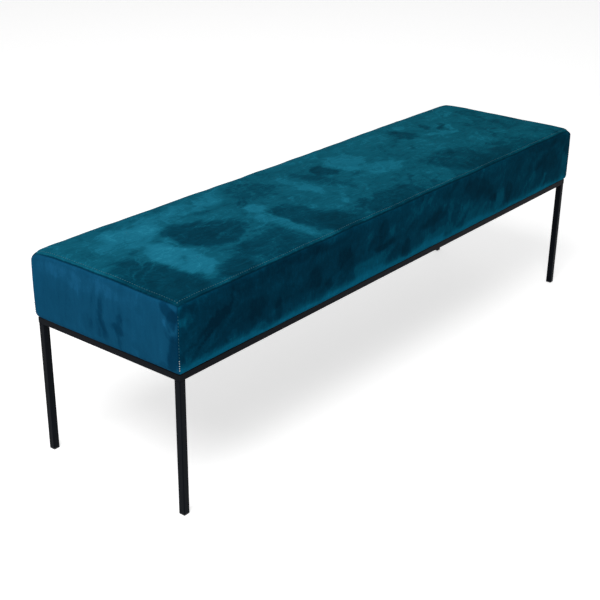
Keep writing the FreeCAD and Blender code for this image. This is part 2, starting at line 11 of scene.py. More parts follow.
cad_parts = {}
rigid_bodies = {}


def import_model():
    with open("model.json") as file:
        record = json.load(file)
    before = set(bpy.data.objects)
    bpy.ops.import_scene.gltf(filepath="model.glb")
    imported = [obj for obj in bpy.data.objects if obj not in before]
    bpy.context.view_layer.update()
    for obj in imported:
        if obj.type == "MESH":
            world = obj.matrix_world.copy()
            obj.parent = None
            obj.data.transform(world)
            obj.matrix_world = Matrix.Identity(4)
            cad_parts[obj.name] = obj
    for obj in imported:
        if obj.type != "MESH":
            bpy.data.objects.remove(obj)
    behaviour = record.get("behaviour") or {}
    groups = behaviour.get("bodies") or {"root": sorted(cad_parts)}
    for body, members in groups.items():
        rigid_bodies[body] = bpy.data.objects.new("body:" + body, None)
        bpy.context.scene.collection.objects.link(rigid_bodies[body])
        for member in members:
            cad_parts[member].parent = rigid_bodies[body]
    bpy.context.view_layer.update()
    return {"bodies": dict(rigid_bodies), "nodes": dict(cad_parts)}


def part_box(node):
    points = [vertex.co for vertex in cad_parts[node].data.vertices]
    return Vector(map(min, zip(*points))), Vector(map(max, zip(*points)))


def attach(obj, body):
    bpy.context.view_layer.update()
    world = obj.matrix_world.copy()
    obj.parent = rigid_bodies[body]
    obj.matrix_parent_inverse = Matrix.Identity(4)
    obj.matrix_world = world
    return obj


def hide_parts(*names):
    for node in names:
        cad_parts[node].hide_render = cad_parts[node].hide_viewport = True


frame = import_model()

# The bench stands on z = 0. +X runs along it and -Y is the long front.
# Lengths are in metres, angles in degrees.

bodyName = next(iter(frame["bodies"]))
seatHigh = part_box("cover_top_panel")[1]
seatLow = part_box("cover_front_panel")[0]
halfX = seatHigh.x
halfY = seatHigh.y
bottomZ = seatLow.z
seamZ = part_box("cover_front_panel")[1].z      # top of the front panel
tiny = 1e-6                                   # a length below this counts as none


def smooth(value):
    value = min(max(value, 0.0), 1.0)
    return value * value * (3 - 2 * value)


def bell(distance, width):
    return math.exp(-((distance / width) ** 2))


def clampTo(value, limit):
    return min(max(value, -limit), limit)


# Camera, floor and lamps

cameraSet = {
    "place": (-2.06116, -1.51425, 1.28168),
    "azimuth": -51.54,
    "elevation": 24.09,
    "roll": 0.73,
    "lens": 69.77,
    "sensor": 36.0,
}
floorSet = {"half": 30.0, "color": (0.9, 0.9, 0.9), "roughness": 0.75, "lift": 0.62}
worldSet = {"light": 0.20, "seen": 1.0}
lampSet = {
    "key": {"place": (-2.6, -0.9, 3.9), "size": 2.6, "power": 135.0},
    "fill": {"place": (2.6, 2.4, 3.2), "size": 3.0, "power": 8.0},
}


def makeCamera():
    a = math.radians(cameraSet["azimuth"])
    e = math.radians(cameraSet["elevation"])
    roll = math.radians(cameraSet["roll"])
    back = Vector((math.sin(a) * math.cos(e), -math.cos(a) * math.cos(e), math.sin(e)))
    level = Vector((-back.y, back.x, 0)).normalized()
    rise = back.cross(level)
    right = level * math.cos(roll) + rise * math.sin(roll)
    up = rise * math.cos(roll) - level * math.sin(roll)
    data = bpy.data.cameras.new("camera")
    data.lens = cameraSet["lens"]
    data.sensor_width = cameraSet["sensor"]
    data.clip_end = 100
    camera = bpy.data.objects.new("camera", data)
    turn = Matrix((right, up, back)).transposed().to_4x4()
    camera.matrix_world = Matrix.Translation(cameraSet["place"]) @ turn
    bpy.context.scene.collection.objects.link(camera)
    bpy.context.scene.camera = camera


def makeLamps():
    target = Vector((0, 0, seamZ / 2))
    for name, lamp in lampSet.items():
        data = bpy.data.lights.new(name, "AREA")
        data.size = lamp["size"]
        data.energy = lamp["power"]
        obj = bpy.data.objects.new(name, data)
        obj.location = lamp["place"]
        obj.rotation_euler = (target - obj.location).to_track_quat("-Z", "Y").to_euler()
        bpy.context.scene.collection.objects.link(obj)


def makeWorld():
    world = bpy.data.worlds.new("studio")
    bpy.context.scene.world = world
    world.use_nodes = True
    tree = world.node_tree
    tree.nodes.clear()
    out = tree.nodes.new("ShaderNodeOutputWorld")
    mix = tree.nodes.new("ShaderNodeMixShader")
    lit = tree.nodes.new("ShaderNodeBackground")
    seen = tree.nodes.new("ShaderNodeBackground")
    lit.inputs["Strength"].default_value = worldSet["light"]
    seen.inputs["Strength"].default_value = worldSet["seen"]
    for background in (lit, seen):
        background.inputs["Color"].default_value = (1, 1, 1, 1)
    tree.links.new(seenRays(tree), mix.inputs[0])
    tree.links.new(lit.outputs[0], mix.inputs[1])
    tree.links.new(seen.outputs[0], mix.inputs[2])
    tree.links.new(mix.outputs[0], out.inputs[0])


def seenRays(tree):
    # 1 for what the camera sees straight, in a gloss or through glass
    path = tree.nodes.new("ShaderNodeLightPath")
    total = path.outputs["Is Camera Ray"]
    for other in ("Is Glossy Ray", "Is Transmission Ray"):
        add = tree.nodes.new("ShaderNodeMath")
        add.operation = "MAXIMUM"
        tree.links.new(total, add.inputs[0])
        tree.links.new(path.outputs[other], add.inputs[1])
        total = add.outputs[0]
    return total


def makeFloor():
    bm = bmesh.new()
    bmesh.ops.create_grid(bm, x_segments=2, y_segments=2, size=floorSet["half"])
    paint, tree, shader = newMaterial("floorPaint")
    shader.inputs["Base Color"].default_value = (*floorSet["color"], 1)
    shader.inputs["Roughness"].default_value = floorSet["roughness"]
    shader.inputs["Emission Color"].default_value = (1, 1, 1, 1)
    lift = addMath(tree, "MULTIPLY", seenRays(tree), floorSet["lift"])
    tree.links.new(lift, shader.inputs["Emission Strength"])
    floor = newPiece("floor", bm, paint)


# Materials


def newMaterial(name):
    material = bpy.data.materials.new(name)
    material.use_nodes = True
    tree = material.node_tree
    shader = next(n for n in tree.nodes if n.type == "BSDF_PRINCIPLED")
    return material, tree, shader


def addNode(tree, kind, **values):
    node = tree.nodes.new(kind)
    for key, value in values.items():
        setattr(node, key, value)
    return node


def setInputs(node, **values):
    for key, value in values.items():
        node.inputs[key].default_value = value


def addMath(tree, operation, first, second):
    node = addNode(tree, "ShaderNodeMath", operation=operation)
    for socket, value in zip(node.inputs, (first, second)):
        if isinstance(value, (int, float)):
            socket.default_value = value
        else:
            tree.links.new(value, socket)
    return node.outputs[0]


def addNoise(tree, place, scale, detail=2.0, roughness=0.5, distortion=0.0):
    node = addNode(tree, "ShaderNodeTexNoise")
    setInputs(node, Scale=scale, Detail=detail, Roughness=roughness, Distortion=distortion)
    tree.links.new(place, node.inputs["Vector"])
    return node.outputs[0]


def addPlace(tree, scale=(1, 1, 1), turn=(0, 0, 0)):
    spot = addNode(tree, "ShaderNodeTexCoord")
    mapping = addNode(tree, "ShaderNodeMapping")
    mapping.inputs["Scale"].default_value = scale
    mapping.inputs["Rotation"].default_value = [math.radians(angle) for angle in turn]
    tree.links.new(spot.outputs["Object"], mapping.inputs["Vector"])
    return mapping.outputs[0]


def addRamp(tree, factor, stops):
    node = addNode(tree, "ShaderNodeValToRGB")
    ramp = node.color_ramp
    while len(ramp.elements) < len(stops):
        ramp.elements.new(0.5)
    for element, (place, color) in zip(ramp.elements, stops):
        element.position = place
        element.color = (*color, 1)
    tree.links.new(factor, node.inputs[0])
    return node.outputs[0]


def addBump(tree, shader, height, strength, distance):
    node = addNode(tree, "ShaderNodeBump")
    setInputs(node, Strength=strength, Distance=distance)
    tree.links.new(height, node.inputs["Height"])
    tree.links.new(node.outputs[0], shader.inputs["Normal"])


velvetSet = {
    "tones": [
        (0.00, (0.0005, 0.026, 0.046)),
        (0.24, (0.0011, 0.046, 0.078)),
        (0.38, (0.0020, 0.064, 0.105)),
        (0.46, (0.0038, 0.090, 0.140)),
        (0.58, (0.0052, 0.108, 0.166)),
        (0.66, (0.0082, 0.138, 0.212)),
        (0.84, (0.0118, 0.170, 0.258)),
        (1.00, (0.0200, 0.225, 0.330)),
    ],
    "lightHueRight": (0.80, 1.06, 0.98),     # painted light: the hue is greener at the right end
    "hueSpread": 0.67,                 # share of that change in a metre
    "roughness": 0.95,
    "sheen": 0.06,
    "sheenRoughness": 0.4,
    "sheenTint": (0.03, 0.50, 0.80),
    "gloss": 0.02,
    "coarseness": 0.6,                 # of all its noise
    "pile": 1100,
    "napRelief": 1.5,                  # height of the nap against that of the pile
    "bump": 0.3,
    "bumpDepth": 0.0006,
}


def makeVelvet(name, look):
    # the attribute painted on the cover holds the brush marks with painted seam shade and painted
    # floor-bounce light, and noise layers break them up
    s = velvetSet
    material, tree, shader = newMaterial(name)
    napAndLight = addNode(tree, "ShaderNodeAttribute", attribute_name="napAndLight").outputs["Fac"]
    tone = addMath(tree, "ADD", addMath(tree, "MULTIPLY", napAndLight, look["napAndLight"]), look["tone"])
    for layer in look["layers"]:
        place = addPlace(tree, layer["scale"], layer["turn"])
        part = addNoise(tree, place, 1.0, layer["detail"], s["coarseness"], layer["twist"])
        part = addMath(tree, "SUBTRACT", part, 0.5)
        if layer["ridge"]:
            # thin light lines where the noise passes its middle
            part = addMath(tree, "MULTIPLY", addMath(tree, "ABSOLUTE", part, 0), -layer["ridge"])
            part = addMath(tree, "MAXIMUM", addMath(tree, "ADD", part, 1.0), 0.0)
        tone = addMath(tree, "ADD", tone, addMath(tree, "MULTIPLY", part, layer["amount"]))
    tones = []
    for stop, color in s["tones"]:
        tones.append((stop, [c * k for c, k in zip(color, look["tint"])]))
    spot = addNode(tree, "ShaderNodeSeparateXYZ")
    tree.links.new(addPlace(tree), spot.inputs[0])
    # painted light: the colour shifts greener along x towards the right end
    side = addMath(tree, "ADD", addMath(tree, "MULTIPLY", spot.outputs[0], s["hueSpread"]), 0.5)
    lightHue = addRamp(tree, side, [(0, (1, 1, 1)), (1, s["lightHueRight"])])
    mix = addNode(tree, "ShaderNodeVectorMath", operation="MULTIPLY")
    tree.links.new(addRamp(tree, tone, tones), mix.inputs[0])
    tree.links.new(lightHue, mix.inputs[1])
    tree.links.new(mix.outputs[0], shader.inputs["Base Color"])
    shader.inputs["Roughness"].default_value = s["roughness"]
    shader.inputs["Sheen Weight"].default_value = s["sheen"]
    shader.inputs["Sheen Roughness"].default_value = s["sheenRoughness"]
    shader.inputs["Sheen Tint"].default_value = (*s["sheenTint"], 1)
    shader.inputs["Specular IOR Level"].default_value = s["gloss"]
    pile = addNoise(tree, addPlace(tree), s["pile"], 2, s["coarseness"])
    relief = addMath(tree, "ADD", pile, addMath(tree, "MULTIPLY", tone, s["napRelief"]))
    addBump(tree, shader, relief, s["bump"], s["bumpDepth"])
    return material


coatSet = {
    "color": (0.0014, 0.0024, 0.0046),
    "dusty": (0.0032, 0.0050, 0.0082),
    "roughness": 0.55,
    "roughnessSpread": 0.16,
    "gloss": 0.05,
    "patches": 14,
    "grain": 900,
}


def makeCoat():
    # fine-grained powder coat with dusty patches
    material, tree, shader = newMaterial("powderCoat")
    patches = addNoise(tree, addPlace(tree), coatSet["patches"], detail=3, roughness=0.6)
    stops = [(0.35, coatSet["color"]), (0.75, coatSet["dusty"])]
    tree.links.new(addRamp(tree, patches, stops), shader.inputs["Base Color"])
    grain = addNoise(tree, addPlace(tree), coatSet["grain"], detail=2, roughness=0.5)
    spread = coatSet["roughnessSpread"]
    rough = addMath(tree, "MULTIPLY_ADD", patches, spread)
    rough.node.inputs[2].default_value = coatSet["roughness"] - spread / 2
    tree.links.new(rough, shader.inputs["Roughness"])
    shader.inputs["Specular IOR Level"].default_value = coatSet["gloss"]
    addBump(tree, shader, grain, strength=0.3, distance=0.0003)
    return material


plugSet = {
    "dark": (0.008, 0.009, 0.011),
    "light": (0.022, 0.024, 0.027),
    "roughness": 0.6,
    "wear": 180,
}


def makePlug():
    material, tree, shader = newMaterial("mouldedPlastic")
    wear = addNoise(tree, addPlace(tree), plugSet["wear"], detail=3, roughness=0.6)
    stops = [(0.3, plugSet["dark"]), (0.8, plugSet["light"])]
    tree.links.new(addRamp(tree, wear, stops), shader.inputs["Base Color"])
    shader.inputs["Roughness"].default_value = plugSet["roughness"]
    addBump(tree, shader, wear, strength=0.2, distance=0.0002)
    return material


zincLooks = {
    "zincPlate": {"color": (0.62, 0.63, 0.65), "roughness": 0.35},
    "stapleWire": {"color": (0.55, 0.56, 0.58), "roughness": 0.4},
}
zincSet = {"spangle": 320, "dark": 0.75}      # dark as a share of the bright colour


def makeZinc(name):
    material, tree, shader = newMaterial(name)
    color = zincLooks[name]["color"]
    spangle = addNoise(tree, addPlace(tree), zincSet["spangle"], detail=3, roughness=0.6)
    dark = [c * zincSet["dark"] for c in color]
    tree.links.new(addRamp(tree, spangle, [(0.3, dark), (0.7, color)]), shader.inputs["Base Color"])
    shader.inputs["Metallic"].default_value = 1.0
    shader.inputs["Roughness"].default_value = zincLooks[name]["roughness"]
    addBump(tree, shader, spangle, strength=0.15, distance=0.0001)
    return material


plywoodSet = {
    "dark": (0.34, 0.21, 0.11),
    "light": (0.66, 0.5, 0.31),
    "roughness": 0.7,
    "plies": 95.0,
    "grain": (6, 90, 90),       # the fibres run along the board
    "plyShare": 0.4,            # shares of the plies and the grain in the tone
    "grainShare": 0.6,
}


def makePlywood():
    s = plywoodSet
    material, tree, shader = newMaterial("birchPlywood")
    plies = addNode(tree, "ShaderNodeTexWave", wave_type="BANDS", bands_direction="Z")
    setInputs(plies, Scale=s["plies"], Distortion=1.0, Detail=2.0)
    tree.links.new(addPlace(tree), plies.inputs["Vector"])
    grain = addNoise(tree, addPlace(tree, s["grain"]), 1.0, detail=4, roughness=0.6)
    banded = addMath(tree, "MULTIPLY", plies.outputs["Fac"], s["plyShare"])
    tone = addMath(tree, "ADD", banded, addMath(tree, "MULTIPLY", grain, s["grainShare"]))
    stops = [(0.2, s["dark"]), (0.8, s["light"])]
    tree.links.new(addRamp(tree, tone, stops), shader.inputs["Base Color"])
    shader.inputs["Roughness"].default_value = s["roughness"]
    addBump(tree, shader, grain, strength=0.2, distance=0.0002)
    return material


fillingLooks = {
    "openCellFoam": {"dark": (0.62, 0.58, 0.40), "light": (0.80, 0.77, 0.60), "cells": 700},
    "polyesterWadding": {"dark": (0.75, 0.75, 0.73), "light": (0.9, 0.9, 0.89), "cells": 160},
}


def makeFilling(name):
    look = fillingLooks[name]
    material, tree, shader = newMaterial(name)
    cells = addNoise(tree, addPlace(tree), look["cells"], detail=4, roughness=0.7)
    stops = [(0.3, look["dark"]), (0.7, look["light"])]
    tree.links.new(addRamp(tree, cells, stops), shader.inputs["Base Color"])
    shader.inputs["Roughness"].default_value = 1.0
    addBump(tree, shader, cells, strength=0.5, distance=0.001)
    return material


dustSet = {
    "dark": (0.006, 0.006, 0.007),
    "light": (0.028, 0.028, 0.03),
    "roughness": 0.95,
    "dots": 420.0,
    "fibres": 240,
}


def makeDustCloth():
    # spun-bonded cloth: a faint grid of bonding dots in matted fibres
    material, tree, shader = newMaterial("dustCloth")
    dots = addNode(tree, "ShaderNodeTexVoronoi")
    setInputs(dots, Scale=dustSet["dots"], Randomness=0.15)
    tree.links.new(addPlace(tree), dots.inputs["Vector"])
    fibres = addNoise(tree, addPlace(tree), dustSet["fibres"], detail=4, roughness=0.7)
    tone = addMath(tree, "MULTIPLY", dots.outputs["Distance"], fibres)
    stops = [(0.1, dustSet["dark"]), (0.6, dustSet["light"])]
    tree.links.new(addRamp(tree, tone, stops), shader.inputs["Base Color"])
    shader.inputs["Roughness"].default_value = dustSet["roughness"]
    addBump(tree, shader, tone, strength=0.4, distance=0.0004)
    return material


threadSet = {
    "color": (0.050, 0.175, 0.215),
    "bright": (0.55, 0.66, 0.68),
    "dark": 0.7,                # share of the colour between the strands
    "roughness": 0.6,
    "twist": 2600,
}


def makeThread(name, color):
    material, tree, shader = newMaterial(name)
    twist = addNoise(tree, addPlace(tree), threadSet["twist"], detail=2, roughness=0.5)
    dark = [c * threadSet["dark"] for c in color]
    tree.links.new(addRamp(tree, twist, [(0.3, dark), (0.65, color)]), shader.inputs["Base Color"])
    shader.inputs["Roughness"].default_value = threadSet["roughness"]
    addBump(tree, shader, twist, strength=0.3, distance=0.0001)
    return material


# Pieces


def newPiece(name, bm, material):
    mesh = bpy.data.meshes.new(name)
    bm.to_mesh(mesh)
    bm.free()
    mesh.materials.append(material)
    mesh.shade_smooth()
    obj = bpy.data.objects.new(name, mesh)
    bpy.context.scene.collection.objects.link(obj)
    return obj


def bakeModifiers(obj):
    bpy.context.view_layer.update()
    graph = bpy.context.evaluated_depsgraph_get()
    done = bpy.data.meshes.new_from_object(obj.evaluated_get(graph))
    old = obj.data
    obj.modifiers.clear()
    obj.data = done
    bpy.data.meshes.remove(old)
    done.name = obj.name


# The velvet cover: one block is shaped and swelled, then parted into its five panels.
# Distances from an edge are taken on the plain block. Rounding halves them at a seam.

coverSet = {
    "step": 0.009,              # plain grid
    "nearEdge": (               # loops of the grid close to every edge
        0.0012, 0.0026, 0.0042, 0.0061, 0.0080, 0.0097, 0.0111,
        0.0124, 0.0137, 0.0155, 0.0190, 0.0240, 0.0310,
    ),
    "edgeDrop": 0.0061,         # rounded edge of the top below the crown
    "topRound": 0.015,
    "cornerRound": 0.020,       # radius where the upright corners meet the top
    "cornerReach": 0.038,       # how far from a corner that radius is felt
    "widenFrom": 0.002,         # the corners start to widen this far up the top's rounding
    "bottomRound": 0.0105,
    "uprightRound": 0.0080,     # plan radius of the upright corners
    "hem": 0.030,
    "drawIn": 0.0012,           # the long sides at half height
    "drawInFade": 0.05,
    "endPuff": 0.0016,          # the ends stand out a little
    "endPuffReach": 0.02,
    "crown": 0.0036,
    "crownFade": 0.07,          # how far down the sides the top's lift is felt
    "endSwell": 0.0046,         # the left end stands higher behind its middle
    "endSwellReach": 0.11,
    "endSwellFront": -0.13,     # it grows from here over this depth
    "endSwellGrow": 0.11,
    "endSwellBack": 0.035,      # and falls again this close to the back edge
    "cornerDroop": 0.0010,
    "cornerDroopReach": 0.024,
    "sag": 0.0014,              # and the back edge lower half way along
    "sagReach": 0.30,
    "sagPlace": 0.02,
    "seamDepth": 0.0018,
    "seamWidth": 0.0028,
    "seamShallow": 0.7,         # share of its depth and of its painted shade that a seam loses at a corner
    "seamShallowReach": 0.030,
    "seamWave": 0.0011,
    "seamWaveReach": 0.028,
    "seamWaves": ((1.0, 17, 0.4), (0.5, 41, 2.3)),    # share, scale and level of noise
    "uneven": ((0.0010, 6.0), (0.0005, 19.0)),        # height and scale of noise
    "unevenFade": 0.02,         # none of it at the seams
    "pucker": 0.0007,
    "puckerScale": 48.0,
    "puckerReach": 0.016,
    "stitchRow": 0.0124,
    "stitchDip": 0.0012,
    "stitchDipWidth": 0.0026,
    "cloth": 0.0016,
    "swell": 0.0030,            # the most that a point may move in the simulation
}
panelNames = ("top", "front", "back", "left", "right")
edgeZ = seatHigh.z - coverSet["edgeDrop"]


def stations(half, near, step):
    # places of the grid's loops from -half to half, close together near both edges
    inner = half - near[-1]
    count = max(round(2 * inner / step), 1)
    middle = [-inner + 2 * inner * i / count for i in range(count + 1)]
    low = [-half] + [-half + d for d in near[:-1]]
    return low + middle + [-place for place in reversed(low)]


def makeGrid(near, step):
    # a plain block with loops placed for the seat
    bm = bmesh.new()
    bmesh.ops.create_cube(bm, size=1.0)
    middleZ = (bottomZ + edgeZ) / 2
    rows = [stations(halfX, near, step), stations(halfY, near, step)]
    rows.append([middleZ + z for z in stations((edgeZ - bottomZ) / 2, near, step)])
    for axis, row in enumerate(rows):
        # the edges along this axis are still as long as the cube, which is 1
        along = [e for e in bm.edges if abs(e.verts[0].co[axis] - e.verts[1].co[axis]) > 0.9]
        bmesh.ops.subdivide_edges(bm, edges=along, cuts=len(row) - 2, use_grid_fill=True)
    for vert in bm.verts:
        for axis, row in enumerate(rows):
            vert.co[axis] = row[round((vert.co[axis] + 0.5) * (len(row) - 1))]
    bm.normal_update()
    return bm


def makeCoverBlock():
    # the cover's grid, parted by panel; returns it with each vertex's place on the block
    bm = makeGrid(coverSet["nearEdge"], coverSet["step"])
    for face in bm.faces:
        face.material_index = panelNames.index(panelOf(face))
    opening = []
    for face in bm.faces:
        middle = face.calc_center_median()
        inside = min(halfX - abs(middle.x), halfY - abs(middle.y)) > coverSet["hem"]
        if face.normal.z < -0.5 and inside:
            opening.append(face)
    bmesh.ops.delete(bm, geom=opening, context="FACES")
    bm.verts.index_update()
    places = [vert.co.copy() for vert in bm.verts]
    return bm, places


def panelOf(face):
    normal = face.normal
    middle = face.calc_center_median()
    if normal.z > 0.5:
        return "top"
    nearEnd = halfX - abs(middle.x) < halfY - abs(middle.y)
    if abs(normal.x) > 0.5 or (normal.z < -0.5 and nearEnd):
        return "left" if middle.x < 0 else "right"
    return "front" if middle.y < 0 else "back"


def seatPoint(p):
    # where a point of the plain block lies on the stuffed seat: rounded edges first
    s = coverSet
    fromCorner = math.hypot(halfX - abs(p.x), halfY - abs(p.y))
    corner = bell(fromCorner, s["cornerReach"])
    topRound = s["topRound"] + (s["cornerRound"] - s["topRound"]) * corner
    high = smooth((p.z - edgeZ + topRound - s["widenFrom"]) / topRound)
    plan = s["uprightRound"] + (topRound - s["uprightRound"]) * high
    core = Vector((clampTo(p.x, halfX - plan), clampTo(p.y, halfY - plan), p.z))
    core.z = min(max(p.z, bottomZ + s["bottomRound"]), edgeZ - topRound)
    tall = topRound if p.z > core.z else s["bottomRound"]
    away = p - core
    shares = Vector((away.x / plan, away.y / plan, away.z / tall))
    moved = p.copy()
    if shares.length > tiny:
        moved = core + away * (max(abs(c) for c in shares) / shares.length)
    moved.z += topLift(p) * smooth((p.z - edgeZ + s["crownFade"]) / s["crownFade"])
    middle = math.sin(math.pi * clampTo((p.z - bottomZ) / (edgeZ - bottomZ), 1))
    moved.x += math.copysign(s["endPuff"] * middle * bell(halfX - abs(p.x), s["endPuffReach"]), p.x)
    pull = s["drawIn"] * middle * (1 - bell(fromCorner, s["drawInFade"]))
    if halfY - abs(p.y) < tiny:
        moved.y -= math.copysign(pull, p.y)
    return moved


def topLift(p):
    # crown, the higher left end, the sagging back and the wavy seams
    s = coverSet
    dx = halfX - abs(p.x)
    dy = halfY - abs(p.y)
    lift = s["crown"] * (1 - (p.x / halfX) ** 4) * (1 - (p.y / halfY) ** 2)
    behind = smooth((p.y - s["endSwellFront"]) / s["endSwellGrow"])
    behind *= 1 - bell(p.y - halfY, s["endSwellBack"])
    lift += s["endSwell"] * behind * bell(p.x + halfX, s["endSwellReach"])
    lift -= s["cornerDroop"] * bell(math.hypot(dx, dy), s["cornerDroopReach"])
    lift -= s["sag"] * bell(p.x - s["sagPlace"], s["sagReach"]) * smooth(0.5 + p.y / halfY * 0.5)
    wave = 0.0
    for share, scale, level in s["seamWaves"]:
        wave += share * noise.noise(Vector((p.x * scale, p.y * scale, level)))
    lift += s["seamWave"] * wave * bell(min(dx, dy), s["seamWaveReach"])
    return lift


swellSet = {
    "frames": 20,
    "quality": 5,
    "pressure": 4.0,
    "mass": 0.4,
    "tension": 40,
    "shear": 15,
    "bending": 2.0,
    "heldLow": 0.010,           # held this far up from the frame
    "heldSeam": 0.003,          # held this close to a seam
    "halfHeld": 0.014,          # half held this close
}


def swellCover(bm, places):
    # a short cloth run under light pressure, held at the hem and the seams, then capped
    s = swellSet
    rest = [vert.co.copy() for vert in bm.verts]
    mesh = bpy.data.meshes.new("swelling")
    bm.to_mesh(mesh)
    obj = bpy.data.objects.new("swelling", mesh)
    bpy.context.scene.collection.objects.link(obj)
    held = obj.vertex_groups.new(name="held")
    for index, p in enumerate(places):
        gaps = sorted((halfX - abs(p.x), halfY - abs(p.y), edgeZ - p.z))
        if p.z < bottomZ + s["heldLow"] or gaps[1] < s["heldSeam"]:
            held.add([index], 1.0, "REPLACE")
        elif gaps[1] < s["halfHeld"]:
            held.add([index], 0.5, "REPLACE")
    cloth = obj.modifiers.new("cloth", "CLOTH")
    settings = cloth.settings
    settings.quality = s["quality"]
    settings.mass = s["mass"]
    settings.tension_stiffness = s["tension"]
    settings.compression_stiffness = s["tension"]
    settings.shear_stiffness = s["shear"]
    settings.bending_stiffness = s["bending"]
    settings.use_pressure = True
    settings.uniform_pressure_force = s["pressure"]
    settings.effector_weights.gravity = 0.0
    settings.vertex_group_mass = "held"
    cloth.collision_settings.use_collision = False
    cloth.collision_settings.use_self_collision = False
    scene = bpy.context.scene
    scene.frame_start = 1
    scene.frame_end = s["frames"]
    for step in range(1, s["frames"] + 1):
        scene.frame_set(step)
    graph = bpy.context.evaluated_depsgraph_get()
    after = [v.co.copy() for v in obj.evaluated_get(graph).data.vertices]
    scene.frame_set(1)
    bpy.data.objects.remove(obj)
    bpy.data.meshes.remove(mesh)
    cap = coverSet["swell"]
    furthest = 0.0
    for vert, start, end in zip(bm.verts, rest, after):
        step = end - start
        furthest = max(furthest, step.length)
        vert.co = start + step * (cap / (cap + step.length))
    print("cloth moved at most", round(furthest * 1000, 1), "mm before the cap")


def finishCover(bm, places):
    # seams, stitch channels and the small unevenness of stuffed cloth, and a painted shade along the
    # seams
    s = coverSet
    bm.normal_update()
    shifts = []
    shade = bm.verts.layers.float.new("seam")
    for vert, p in zip(bm.verts, places):
        gaps = (halfX - abs(p.x), halfY - abs(p.y), edgeZ - p.z)
        near = [bell(gap, s["seamWidth"]) for gap in gaps]
        edge = sorted(gaps)[1]
        shallow = 1 - s["seamShallow"] * bell(math.hypot(gaps[0], gaps[1]), s["seamShallowReach"])
        shift = -s["seamDepth"] * sorted(near)[1] * shallow
        wave = sum(height * noise.noise(p * scale) for height, scale in s["uneven"])
        pucker = s["pucker"] * noise.noise(p * s["puckerScale"])
        pucker *= bell(edge - s["puckerReach"], s["puckerReach"])
        shift += (wave + pucker) * smooth(edge / s["unevenFade"])
        if gaps[2] < tiny:
            shift -= s["stitchDip"] * bell(min(gaps[:2]) - s["stitchRow"], s["stitchDipWidth"])
        shifts.append(vert.normal * shift)
        # painted shade along the seam grooves, fainter at the corners, handed on to the nap
        vert[shade] = sorted(near)[1] * shallow
    for vert, shift in zip(bm.verts, shifts):
        vert.co += shift


def makePanels(bm, materials):
    panels = {}
    for index, name in enumerate(panelNames):
        part = bm.copy()
        others = [face for face in part.faces if face.material_index != index]
        bmesh.ops.delete(part, geom=others, context="FACES")
        for face in part.faces:
            face.material_index = 0
        obj = newPiece(f"{name}Panel", part, materials[name])
        finer = obj.modifiers.new("finer", "SUBSURF")
        finer.levels = finer.render_levels = 1
        finer.boundary_smooth = "PRESERVE_CORNERS"
        bakeModifiers(obj)
        paintNapAndLight(obj, name)
        wall = obj.modifiers.new("wall", "SOLIDIFY")
        wall.thickness = coverSet["cloth"]
        wall.offset = -1
        bakeModifiers(obj)
        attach(obj, bodyName)
        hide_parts(f"cover_{name}_panel")
        panels[name] = obj
    return panels
